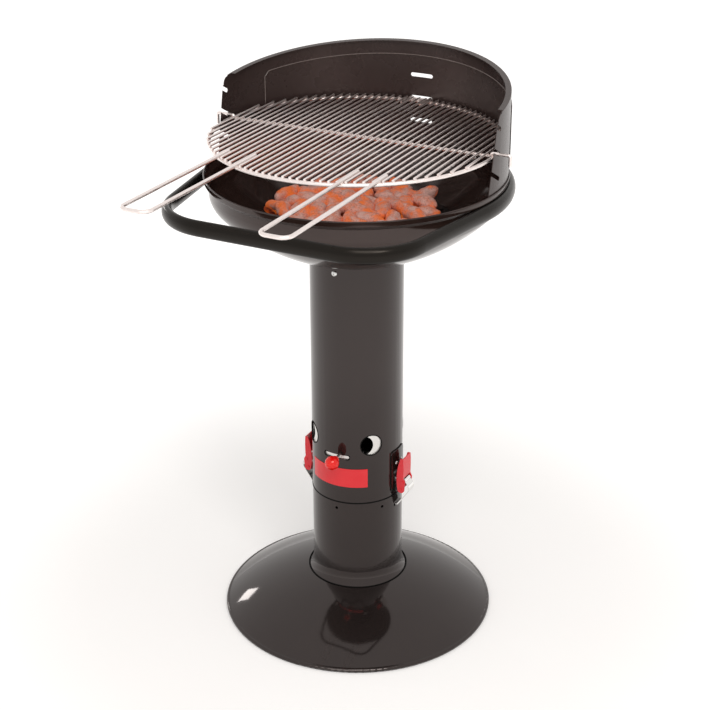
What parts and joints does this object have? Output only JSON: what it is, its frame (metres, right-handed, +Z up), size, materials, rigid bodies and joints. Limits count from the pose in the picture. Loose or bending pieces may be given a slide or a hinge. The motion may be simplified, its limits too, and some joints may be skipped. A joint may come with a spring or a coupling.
{
  "type": "charcoal barbecue",
  "caption": "Charcoal barbecue on a round pedestal: domed base dish, tubular column, deep bowl with a ring handle, half-round windscreen, barred cooking grid and side latches.",
  "frame": {"origin": "on the floor, under the centre of the column", "axes": "+Z up, -Y towards the front (air knob and wire handles), +X towards the user's right"},
  "size_m": [0.5054, 0.6877, 0.9236],
  "materials": {
    "black_enamel": "glossy enamel",
    "black_steel": "satin coat",
    "handle_coat": "satin coat",
    "aluminised": "bright aluminised sheet",
    "zinc": "bright zinc",
    "chrome": "polished",
    "grid_chrome": "polished wire",
    "red_knob": "glossy",
    "red_paint": "satin coat",
    "charcoal": "glowing charcoal with grey ash"
  },
  "bodies": {
    "stand": {"base_plate": "black_enamel", "ash_pot": "black_enamel", "pot_bolts": "zinc", "pot_nuts": "zinc", "column_tube": "black_enamel", "joint_collar": "aluminised", "bracket_rivets": "zinc", "latch_bracket_right": "black_steel", "latch_bracket_left": "black_steel", "lever_pin_right": "red_paint", "lever_pin_left": "red_paint", "bowl": "black_enamel", "bowl_neck": "black_steel", "neck_screws": "zinc", "neck_nuts": "zinc", "floor_bolts": "zinc", "floor_nuts": "zinc", "ring_handle": "handle_coat", "rim_screws": "zinc", "windscreen": "black_enamel"},
    "damper": {"damper_ring": "aluminised", "damper_stem": "zinc", "damper_knob": "red_knob"},
    "lever_right": {"latch_lever_right": "red_paint", "hook_pin_right": "red_paint"},
    "hook_right": {"latch_hook_right": "chrome"},
    "lever_left": {"latch_lever_left": "red_paint", "hook_pin_left": "red_paint"},
    "hook_left": {"latch_hook_left": "chrome"},
    "grid": {"grid_ring": "grid_chrome", "grid_bars": "grid_chrome", "grid_cross_wire": "grid_chrome", "grid_loop_right": "grid_chrome", "grid_loop_left": "grid_chrome", "grid_tongue": "grid_chrome"},
    "fire": {"fire_grate": "black_enamel", "charcoal": "charcoal"}
  },
  "joints": [
    {"name": "damper_turn", "type": "hinge", "parent": "stand", "child": "damper", "pos_m": [0, 0, 0.3296], "axis": [0, 0, 1], "range_deg": [-17, 11]},
    {"name": "lever_right_turn", "type": "hinge", "parent": "stand", "child": "lever_right", "pos_m": [0.087, 0, 0.2401], "axis": [0, 1, 0], "range_deg": [0, 105]},
    {"name": "hook_right_turn", "type": "hinge", "parent": "lever_right", "child": "hook_right", "pos_m": [0.09, 0, 0.2541], "axis": [0, 1, 0], "range_deg": [-105, 0]},
    {"name": "lever_left_turn", "type": "hinge", "parent": "stand", "child": "lever_left", "pos_m": [-0.087, 0, 0.2401], "axis": [0, -1, 0], "range_deg": [0, 105]},
    {"name": "hook_left_turn", "type": "hinge", "parent": "lever_left", "child": "hook_left", "pos_m": [-0.09, 0, 0.2541], "axis": [0, -1, 0], "range_deg": [-105, 0]},
    {"name": "grid_slide", "type": "slide", "parent": "stand", "child": "grid", "axis": [0, -0.8746, 0.4848], "range_m": [0, 0.06]},
    {"name": "grate_lift", "type": "slide", "parent": "stand", "child": "fire", "axis": [0, 0, 1], "range_m": [0, 0.085]}
  ],
  "couplings": [
    {"joint": "hook_right_turn", "follows": "lever_right_turn", "ratio": -1},
    {"joint": "hook_left_turn", "follows": "lever_left_turn", "ratio": -1}
  ]
}
